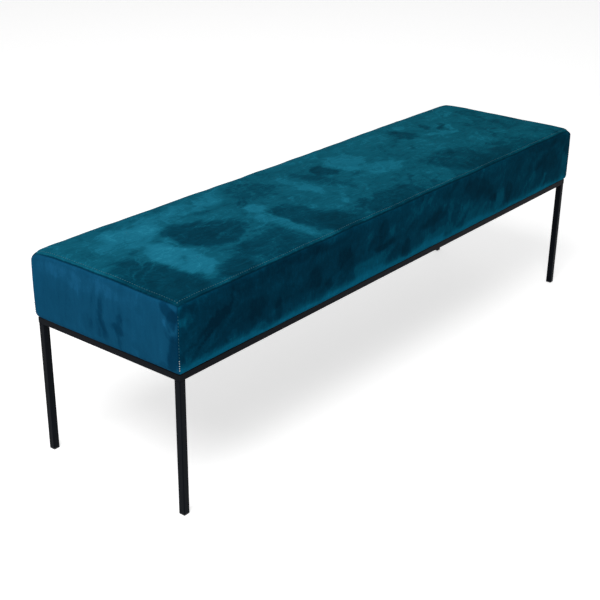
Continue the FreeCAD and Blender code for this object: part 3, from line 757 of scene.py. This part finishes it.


# Nap: where the pile was last brushed, with painted shade along the seams and painted floor-bounce light
# along the foot of the long sides.
# A mark is along, across, half length, half width, turn and tone; along and across are x and y on the
# top, x and z on the long sides and y and z on the ends.

napSet = {
    "top": {
        "marks": [
            (-0.607, -0.075, 0.045, 0.100, -4, 1.1), (-0.590, 0.085, 0.080, 0.045, 15, 0.6),
            (-0.480, 0.125, 0.190, 0.045, 6, 0.40), (-0.550, -0.020, 0.022, 0.055, 0, 0.35),
            (-0.300, 0.012, 0.032, 0.036, 0, 0.75), (-0.328, -0.095, 0.020, 0.080, 6, 0.55),
            (-0.310, 0.140, 0.055, 0.028, 10, 0.35), (-0.106, 0.030, 0.021, 0.070, -5, 0.60),
            (0.095, 0.070, 0.062, 0.052, -10, 0.60), (0.130, -0.025, 0.066, 0.038, -12, 0.60),
            (0.058, 0.030, 0.022, 0.022, 0, 0.35), (0.170, -0.145, 0.034, 0.030, 20, 0.40),
            (0.436, 0.152, 0.016, 0.020, 0, 0.60), (0.455, 0.024, 0.040, 0.016, -28, 0.60),
            (0.508, 0.040, 0.028, 0.010, 65, 0.55), (0.620, 0.140, 0.085, 0.030, 4, 0.45),
            (0.475, -0.068, 0.028, 0.036, 30, 0.35), (-0.170, -0.150, 0.022, 0.030, 0, 0.30),
            (0.250, 0.120, 0.100, 0.040, 5, 0.25), (0.600, 0.020, 0.060, 0.010, 35, 0.25),
            (-0.700, -0.095, 0.055, 0.120, 0, -0.80), (-0.680, -0.170, 0.045, 0.038, 0, -0.55),
            (-0.460, -0.018, 0.080, 0.070, -15, -1.05), (-0.500, 0.048, 0.042, 0.020, 18, -0.70),
            (-0.430, -0.150, 0.085, 0.048, 0, -0.55), (-0.558, -0.172, 0.044, 0.034, -10, -0.80),
            (-0.290, 0.066, 0.040, 0.012, 20, -0.55), (-0.414, 0.094, 0.042, 0.011, -8, -0.50),
            (-0.250, -0.105, 0.052, 0.088, 10, -0.85), (-0.215, -0.165, 0.060, 0.030, 10, -0.50),
            (-0.200, 0.095, 0.065, 0.055, -20, -0.45), (-0.040, 0.020, 0.028, 0.070, 5, -0.35),
            (0.006, 0.074, 0.024, 0.040, -14, -1.0), (-0.045, -0.165, 0.115, 0.034, 0, -0.60),
            (0.290, -0.120, 0.090, 0.070, -10, -0.60), (0.388, 0.100, 0.032, 0.042, -10, -0.80),
            (0.472, 0.096, 0.030, 0.009, 72, -0.60), (0.500, 0.068, 0.032, 0.012, 48, -0.75),
            (0.640, -0.030, 0.110, 0.050, -20, -0.25), (0.480, -0.130, 0.030, 0.020, 0, -0.40),
            (0.380, -0.175, 0.140, 0.024, 0, -0.45), (0.680, 0.080, 0.035, 0.030, 0, -0.35),
            (-0.690, -0.020, 0.060, 0.003, 52, 0.60), (-0.690, -0.055, 0.060, 0.003, 44, 0.45),
            (-0.425, 0.018, 0.040, 0.004, -22, 0.60), (-0.372, -0.070, 0.030, 0.003, 8, 0.45),
            (-0.565, 0.010, 0.040, 0.003, -72, -0.45), (-0.308, -0.065, 0.040, 0.004, 86, 0.55),
        ],
        "strokes": 190, "seed": 11, "turn": (15, 60), "strength": 0.40, "frontDark": 0.45, "reach": 0.026,
    },
    "front": {
        "marks": [
            # the long thin dark marks at 0.425, just under the top seam, are painted shade
            (-0.740, 0.412, 0.010, 0.009, 0, 0.70), (-0.720, 0.430, 0.014, 0.010, 0, -0.60),
            (-0.722, 0.355, 0.010, 0.040, 0, 0.35), (-0.692, 0.375, 0.040, 0.0045, 30, -0.80),
            (-0.670, 0.366, 0.040, 0.0045, 30, -0.80), (-0.645, 0.386, 0.026, 0.016, 10, -0.90),
            (-0.610, 0.370, 0.070, 0.030, 0, -0.35), (-0.598, 0.333, 0.015, 0.009, 0, 0.60),
            (-0.535, 0.335, 0.020, 0.008, 0, 0.40), (-0.530, 0.372, 0.020, 0.018, 0, -0.50),
            (-0.478, 0.342, 0.012, 0.019, 0, -0.80), (-0.350, 0.364, 0.026, 0.020, -20, -0.50),
            (-0.300, 0.338, 0.011, 0.010, 0, -0.70), (-0.248, 0.368, 0.024, 0.038, 24, -0.7),
            (-0.160, 0.334, 0.062, 0.032, 0, 0.95), (-0.120, 0.373, 0.042, 0.008, -14, -1.0),
            (-0.126, 0.402, 0.016, 0.020, 0, -0.60), (-0.176, 0.402, 0.020, 0.009, 60, 0.60),
            (-0.092, 0.392, 0.014, 0.014, 0, 0.45), (-0.030, 0.344, 0.013, 0.022, 8, -0.80),
            (-0.390, 0.400, 0.100, 0.014, 8, 0.30), (-0.450, 0.425, 0.200, 0.012, 0, -0.35),
            (-0.440, 0.390, 0.260, 0.050, 0, -0.35), (0.200, 0.345, 0.200, 0.030, 0, 0.20),
            (0.085, 0.368, 0.052, 0.014, -4, -0.70), (0.150, 0.370, 0.009, 0.030, 0, 0.60),
            (0.110, 0.326, 0.070, 0.012, 0, 0.55), (0.275, 0.392, 0.070, 0.024, -8, -0.70),
            (0.280, 0.336, 0.070, 0.020, 0, 0.40), (0.345, 0.362, 0.013, 0.013, 0, -0.70),
            (0.377, 0.352, 0.036, 0.018, 66, 0.85), (0.428, 0.356, 0.022, 0.030, 0, -0.80),
            (0.520, 0.360, 0.050, 0.034, 0, 0.20), (0.615, 0.368, 0.056, 0.032, 12, -0.60),
            (0.712, 0.350, 0.022, 0.042, 0, 0.75), (0.590, 0.425, 0.090, 0.014, -6, -0.50),
            (0.060, 0.412, 0.110, 0.016, -10, 0.30), (-0.690, 0.316, 0.020, 0.007, 0, 0.60),
        ],
        "strokes": 170, "seed": 23, "turn": (20, 70), "strength": 0.45, "paintedBounce": 3.0, "reach": 0.022,
    },
    "back": {
        "marks": [
            (0.640, 0.380, 0.050, 0.030, 20, -0.80), (0.520, 0.345, 0.050, 0.025, 0, 0.60),
            (0.420, 0.400, 0.120, 0.028, 0, -0.45), (0.250, 0.360, 0.030, 0.040, 10, -0.80),
            (0.160, 0.340, 0.060, 0.030, 0, 0.80), (0.020, 0.385, 0.050, 0.020, -12, -0.70),
            (-0.130, 0.350, 0.050, 0.030, 0, 0.50), (-0.280, 0.380, 0.060, 0.030, 0, -0.80),
            (-0.420, 0.340, 0.040, 0.020, 50, 0.70), (-0.560, 0.380, 0.060, 0.035, 0, -0.60),
            (-0.700, 0.350, 0.025, 0.040, 0, 0.50),
        ],
        "strokes": 170, "seed": 37, "turn": (110, 160), "strength": 0.45, "paintedBounce": 3.0, "reach": 0.022,
    },
    "left": {
        "marks": [
            (-0.009, 0.365, 0.008, 0.055, -6, -0.60), (0.002, 0.340, 0.015, 0.018, 0, -0.40),
            (0.035, 0.338, 0.017, 0.022, 0, -0.35), (-0.053, 0.352, 0.0075, 0.048, 2, -0.45),
            (-0.048, 0.350, 0.016, 0.012, 0, -0.35), (-0.096, 0.412, 0.010, 0.008, 0, -0.30),
            (-0.091, 0.333, 0.010, 0.010, 0, -0.30), (-0.076, 0.376, 0.007, 0.010, -30, -0.25),
            (-0.172, 0.425, 0.026, 0.010, 24, -0.90), (-0.184, 0.410, 0.012, 0.018, 10, -0.80),
            (-0.190, 0.350, 0.014, 0.038, 12, -1.00), (-0.180, 0.385, 0.014, 0.010, 40, -0.40),
            (-0.164, 0.318, 0.012, 0.007, 0, -0.50), (-0.176, 0.398, 0.020, 0.007, 32, 0.45),
            (0.060, 0.420, 0.140, 0.016, 0, 0.25), (0.120, 0.350, 0.060, 0.030, 0, -0.15),
        ],
        "strokes": 26, "seed": 41, "turn": (70, 110), "strength": 0.16, "reach": 0.015,
    },
    "right": {
        "marks": [
            (0.060, 0.360, 0.010, 0.055, 0, -0.50), (-0.090, 0.370, 0.050, 0.040, 0, 0.25),
            (0.130, 0.340, 0.030, 0.020, 0, -0.35), (-0.180, 0.360, 0.016, 0.040, 0, -0.60),
        ],
        "strokes": 26, "seed": 53, "turn": (70, 110), "strength": 0.16, "reach": 0.015,
    },
}


brushSet = {
    "seed": 11,
    "drift": ((1.0, 8.0), (0.45, 24.0), (0.30, 70.0)),      # share and scale of noise
    "strokeLong": (0.012, 0.045),       # half lengths and widths of the random strokes
    "strokeWide": (0.003, 0.009),
    "fadeEnd": 1.25,                    # a mark ends at this many times its half sizes
    "fadeOver": 0.5,
    "bounceFull": 1.15,                   # painted light: a pale band of floor-bounce light along the foot of the long sides
    "bounceFade": 0.026,
    "bounceWobble": 0.004,
    "bounceUneven": 0.8,
    "darkFrom": 0.02,                   # the front of the top darkens from here
    "darkOver": 0.18,
    # painted shade in the seam grooves
    "seamDark": 1.2,
    "range": (-1.2, 2.0),
}


def driftOf(points):
    # how far the brush wanders at each point; without a seed, vector noise differs at every run
    noise.seed_set(brushSet["seed"])
    drift = np.zeros((len(points), 3))
    for share, scale in brushSet["drift"]:
        drift += share * np.array([noise.noise_vector(Vector(p) * scale) for p in points])
    return drift


def marksOf(look, low, high):
    # the listed marks and then the random strokes
    marks = list(look["marks"])
    draw = random.Random(look["seed"])
    for _ in range(look["strokes"]):
        marks.append((
            draw.uniform(low[0], high[0]),
            draw.uniform(low[1], high[1]),
            draw.uniform(*brushSet["strokeLong"]),
            draw.uniform(*brushSet["strokeWide"]),
            draw.uniform(*look["turn"]),
            draw.uniform(-1, 1) * look["strength"],
        ))
    return marks


def paintNapAndLight(obj, name):
    s = brushSet
    look = napSet[name]
    axes = {"top": [0, 1], "front": [0, 2], "back": [0, 2]}.get(name, [1, 2])
    mesh = obj.data
    points = np.empty(len(mesh.vertices) * 3, np.float32)
    mesh.vertices.foreach_get("co", points)
    points = points.reshape(-1, 3)
    drift = driftOf(points)
    along = points[:, axes[0]] + look["reach"] * drift[:, 0]
    across = points[:, axes[1]] + look["reach"] * drift[:, 1]
    marks = marksOf(look, points.min(0)[axes], points.max(0)[axes])
    tone = np.zeros(len(points))
    for x, y, halfLong, halfWide, turn, strength in marks:
        cos = math.cos(math.radians(turn))
        sin = math.sin(math.radians(turn))
        u = ((along - x) * cos + (across - y) * sin) / halfLong
        v = ((across - y) * cos - (along - x) * sin) / halfWide
        fade = np.clip((s["fadeEnd"] - np.hypot(u, v)) / s["fadeOver"], 0, 1)
        tone += strength * fade * fade * (3 - 2 * fade)
    # painted light: a pale band of floor-bounce light along the foot of the long sides
    wobble = s["bounceWobble"] * drift[:, 2]
    bounceShare = np.clip(s["bounceFull"] - (points[:, 2] + wobble - bottomZ) / s["bounceFade"], 0, 1)
    tone += look.get("paintedBounce", 0.0) * bounceShare * bounceShare * (1 + s["bounceUneven"] * drift[:, 0])
    toFront = np.clip((-points[:, 1] - s["darkFrom"]) / s["darkOver"], 0, 1)
    tone -= look.get("frontDark", 0.0) * toFront * toFront
    # painted shade along the seam grooves
    seam = np.empty(len(points), np.float32)
    mesh.attributes["seam"].data.foreach_get("value", seam)
    tone -= s["seamDark"] * seam
    attribute = mesh.attributes.new("napAndLight", "FLOAT", "POINT")
    attribute.data.foreach_set("value", np.clip(tone, *s["range"]).astype(np.float32))


def noiseLayer(scale, turn, amount, detail=3, twist=0.0, ridge=0.0):
    return {
        "scale": scale, "turn": turn, "amount": amount,
        "detail": detail, "twist": twist, "ridge": ridge,
    }


# Painted light and shade: the top, the long sides and the ends are lit and shaded copies of one velvet.
# The long sides are painted darker as shade, and the ends lighter and bluer as a painted sheen.
velvetLooks = {
    "top": {
        "napAndLight": 0.30, "tone": 0.49, "tint": (1.06, 1.13, 1.16),
        "layers": [
            noiseLayer((10, 8, 9), (0, 0, 20), 0.44, 4, 1.6),
            noiseLayer((18, 44, 22), (0, 0, -28), 0.24, 4, 1.0),
            noiseLayer((30, 150, 38), (0, 0, -30), 0.30, 3, 0.5),
            noiseLayer((240, 620, 240), (0, 0, -30), 0.20, 2),
            noiseLayer((13, 17, 13), (0, 0, 40), 0.13, 3, 1.6, 30),
        ],
    },
    "long": {
        "napAndLight": 0.26, "tone": 0.29, "tint": (0.20, 0.82, 0.98),
        "layers": [
            noiseLayer((9, 9, 13), (0, 25, 0), 0.46, 4, 1.2),
            noiseLayer((30, 40, 40), (0, 32, 0), 0.24, 4, 0.8),
            noiseLayer((200, 200, 50), (0, 32, 0), 0.28, 3, 0.3),
            noiseLayer((700, 700, 300), (0, 32, 0), 0.18, 2),
            noiseLayer((22, 22, 18), (0, 0, 0), 0.06, 3, 1.6, 26),
        ],
    },
    "end": {
        "napAndLight": 0.24, "tone": 0.53, "tint": (1.15, 0.82, 1.12),
        "layers": [
            noiseLayer((16, 16, 9), (0, 0, 0), 0.26, 4, 1.0),
            noiseLayer((26, 26, 5), (0, 0, 0), 0.22, 3, 0.6),
            noiseLayer((70, 70, 20), (0, 0, 0), 0.22, 4, 0.5),
            noiseLayer((500, 500, 260), (0, 0, 0), 0.14, 2),
        ],
    },
}


# Topstitching

stitchSet = {
    "pitch": 0.0062,
    "length": 0.0036,
    "wide": 0.00085,
    "sunk": 0.25,          # share of the thread that lies in the cloth
    "segments": 7,
    "rings": 4,
    "rayFrom": 0.2,        # rays find the cloth from this far off
    "cornerInset": 0.0004,
    "cornerThin": 0.75,    # the corner seams' thread against the top's
    "cornerStart": 0.002,  # gap over the tacks
    "cornerStop": 0.012,   # and below the top seam
    "batch": 40,
    "tacks": 5,            # thick close stitches that end each corner seam
    "tackPitch": 0.0048,
    "tackWide": 0.0022,
    "tackLength": 0.0018,
}


def hitFrom(tree, start, direction):
    place, normal, _, _ = tree.ray_cast(start, direction)
    return (place, normal) if place else None


def stitchPlace(found, along, length, wide):
    place, normal = found
    along = (along - normal * along.dot(normal)).normalized()
    side = normal.cross(along)
    turn = Matrix((along, side, normal)).transposed().to_4x4()
    size = Matrix.Diagonal((length / 2, wide / 2, wide / 2, 1))
    middle = place + normal * (wide * (0.5 - stitchSet["sunk"]))
    return Matrix.Translation(middle) @ turn @ size


def surfaceOf(obj):
    graph = bpy.context.evaluated_depsgraph_get()
    return BVHTree.FromObject(obj, graph)


def makeTopStitches(panels, thread):
    tree = surfaceOf(panels["top"])
    inset = coverSet["stitchRow"]
    endX = halfX - inset
    endY = halfY - inset
    high = seatHigh.z + stitchSet["rayFrom"]
    down = Vector((0, 0, -1))
    runs = []
    for side in (-1, 1):
        runs.append((Vector((-endX, side * endY, high)), Vector((1, 0, 0)), 2 * endX))
        runs.append((Vector((side * endX, -endY, high)), Vector((0, 1, 0)), 2 * endY))
    places = []
    for start, along, length in runs:
        count = int(length / stitchSet["pitch"])
        for i in range(count + 1):
            found = hitFrom(tree, start + along * (length * i / count), down)
            if found:
                places.append(stitchPlace(found, along, stitchSet["length"], stitchSet["wide"]))
    makeStitches("topStitches", places, thread)


def makeCornerStitches(panels, thread, tackThread):
    fine = []
    tacks = []
    s = stitchSet
    lowest = bottomZ + coverSet["bottomRound"]
    above = lowest + s["tacks"] * s["tackPitch"] + s["cornerStart"]
    count = int((seamZ - s["cornerStop"] - above) / s["pitch"])
    rise = Vector((0, 0, 1))
    for side, panel in ((-1, "front"), (1, "back")):
        tree = surfaceOf(panels[panel])
        for end in (-1, 1):
            away = Vector((end, side, 0)).normalized()
            start = Vector((end * (halfX - s["cornerInset"]), side * halfY, 0)) + away * s["rayFrom"]
            for i in range(s["tacks"]):
                found = hitFrom(tree, start + rise * (lowest + i * s["tackPitch"]), -away)
                if found:
                    tacks.append(stitchPlace(found, rise, s["tackLength"], s["tackWide"]))
            for i in range(count):
                found = hitFrom(tree, start + rise * (above + i * s["pitch"]), -away)
                if found:
                    fine.append(stitchPlace(found, rise, s["length"], s["wide"] * s["cornerThin"]))
    print("corner stitches:", len(fine), "tacks:", len(tacks))
    makeStitches("cornerStitches", fine, thread)
    makeStitches("cornerTacks", tacks, tackThread)


def makeStitches(name, places, thread):
    # made in batches, because a bmesh that keeps growing gets slow
    whole = bmesh.new()
    size = stitchSet["batch"]
    for first in range(0, len(places), size):
        batch = bmesh.new()
        for matrix in places[first:first + size]:
            bmesh.ops.create_uvsphere(
                batch, u_segments=stitchSet["segments"], v_segments=stitchSet["rings"],
                radius=1.0, matrix=matrix,
            )
        step = bpy.data.meshes.new("batch")
        batch.to_mesh(step)
        batch.free()
        whole.from_mesh(step)
        bpy.data.meshes.remove(step)
    obj = newPiece(name, whole, thread)
    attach(obj, bodyName)


# Filling: the foam block and the wadding over it follow the cover's form, further in

fillingSet = {
    "foam": {"inset": 0.0105, "nearEdge": (0.006, 0.014, 0.026), "step": 0.040},
    "wadding": {"inset": 0.0032, "nearEdge": (0.003, 0.008, 0.015, 0.026), "step": 0.030},
    "wall": 0.0062,
    "lowSquash": 0.8,           # heights in the lower half, against the cover's
}


def makeFillingBlock(look, lowest):
    bm = makeGrid(look["nearEdge"], look["step"])
    for vert in bm.verts:
        vert.co = seatPoint(vert.co)
    bm.normal_update()
    for vert, normal in [(v, v.normal.copy()) for v in bm.verts]:
        vert.co -= normal * (look["inset"] / max(abs(c) for c in normal) ** 0.5)
        rise = (vert.co.z - bottomZ) / (seamZ - bottomZ)
        if rise < 0.5:
            vert.co.z = lowest + (vert.co.z - bottomZ - look["inset"]) * fillingSet["lowSquash"]
            vert.co.z = max(vert.co.z, lowest)
    return bm


def makeFillings():
    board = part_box("seat_board")[1].z
    block = makeFillingBlock(fillingSet["foam"], board)
    foam = newPiece("foamCore", block, makeFilling("openCellFoam"))
    bm = makeFillingBlock(fillingSet["wadding"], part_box("fibre_wrap")[0].z)
    bm.normal_update()
    # the wadding is open below, where the foam lies on the board
    bottom = [f for f in bm.faces if f.normal.z < -0.9]
    bmesh.ops.delete(bm, geom=bottom, context="FACES")
    wadding = newPiece("fibreWadding", bm, makeFilling("polyesterWadding"))
    wall = wadding.modifiers.new("wall", "SOLIDIFY")
    wall.thickness = fillingSet["wall"]
    wall.offset = -1
    bakeModifiers(wadding)
    pieces = ((foam, "foam_block", "seat_foam"), (wadding, "fibre_wrap", "seat_wadding"))
    for obj, node, slotName in pieces:
        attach(obj, bodyName)
        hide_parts(node)


# Finishes of the pieces that come from the frame file


def dressFrame():
    coat = makeCoat()
    plug = makePlug()
    zinc = makeZinc("zincPlate")
    wire = makeZinc("stapleWire")
    finishes = {
        "rail_": coat, "leg_": coat, "corner_plate": coat, "middle_tab": coat, "corner_weld": coat,
        "foot_plug": plug, "seat_screws": zinc, "screw_washers": zinc, "t_nuts": zinc,
        "cover_staples": wire, "dust_cover_staples": wire, "seat_board": makePlywood(),
        "dust_cover": makeDustCloth(),
    }
    for name, obj in frame["nodes"].items():
        matches = [key for key in finishes if name.startswith(key)]
        if matches:
            obj.data.materials.clear()
            obj.data.materials.append(finishes[max(matches, key=len)])


def makeCover():
    # lit and shaded copies of one velvet: painted shade on the long sides, a painted bluish sheen on the
    # ends
    sheenedEndVelvet = makeVelvet("velvetEndSheen", velvetLooks["end"])
    longVelvet = makeVelvet("velvetLongShaded", velvetLooks["long"])
    materials = {
        "top": makeVelvet("velvetTop", velvetLooks["top"]),
        "front": longVelvet, "back": longVelvet, "left": sheenedEndVelvet, "right": sheenedEndVelvet,
    }
    bm, places = makeCoverBlock()
    print("cover block:", len(bm.verts), "points")
    for vert in bm.verts:
        vert.co = seatPoint(vert.co)
    swellCover(bm, places)
    finishCover(bm, places)
    panels = makePanels(bm, materials)
    bm.free()
    print("cover panels made")
    return panels


makeCamera()
makeLamps()
makeWorld()
makeFloor()
print("studio ready")
dressFrame()
print("frame dressed")
panels = makeCover()
thread = makeThread("seamThread", threadSet["color"])
tackThread = makeThread("tackThread", threadSet["bright"])
makeTopStitches(panels, thread)
makeCornerStitches(panels, thread, tackThread)
print("stitches made")
makeFillings()
print("filling made")

scene = bpy.context.scene
scene.view_settings.view_transform = "Standard"
